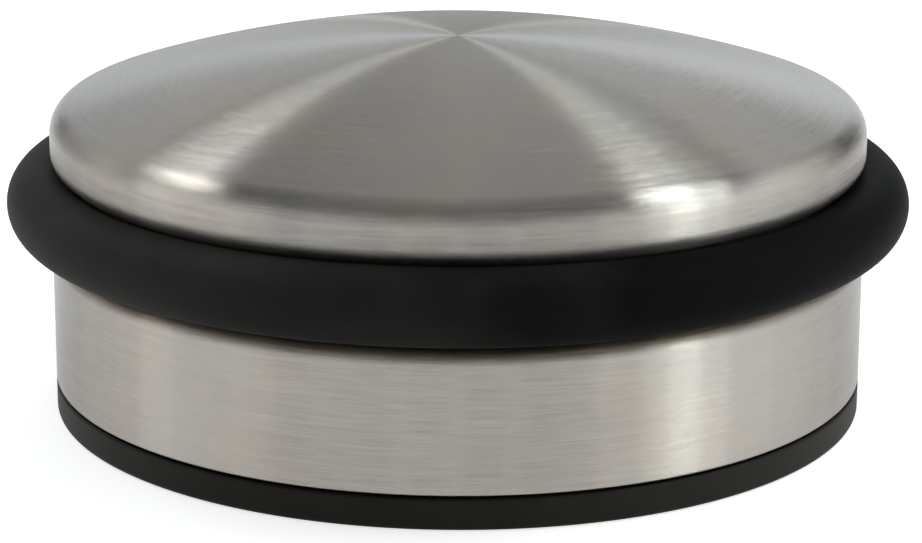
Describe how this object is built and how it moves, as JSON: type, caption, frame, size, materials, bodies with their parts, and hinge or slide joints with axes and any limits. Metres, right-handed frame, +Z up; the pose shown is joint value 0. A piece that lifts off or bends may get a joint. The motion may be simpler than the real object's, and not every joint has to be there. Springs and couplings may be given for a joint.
{
  "type": "floor door stop",
  "caption": "Round free-standing floor door stop: a domed brushed steel hood over an iron ballast, with a rubber buffer ring in a rolled groove and a rubber base pad.",
  "frame": {"origin": "centre of the base pad's underside, on the floor", "axes": "+Z up along the axis that every piece turns about"},
  "size_m": [0.0998, 0.0998, 0.0412],
  "materials": {
    "brushed_hood": "brushed in circles about the axis",
    "cast_ballast": "rough casting",
    "ring_rubber": "smooth matt moulding",
    "pad_rubber": "matt sheet"
  },
  "bodies": {
    "root": {"steel_hood": "brushed_hood", "iron_ballast": "cast_ballast", "rubber_ring": "ring_rubber", "base_pad": "pad_rubber"}
  },
  "joints": []
}
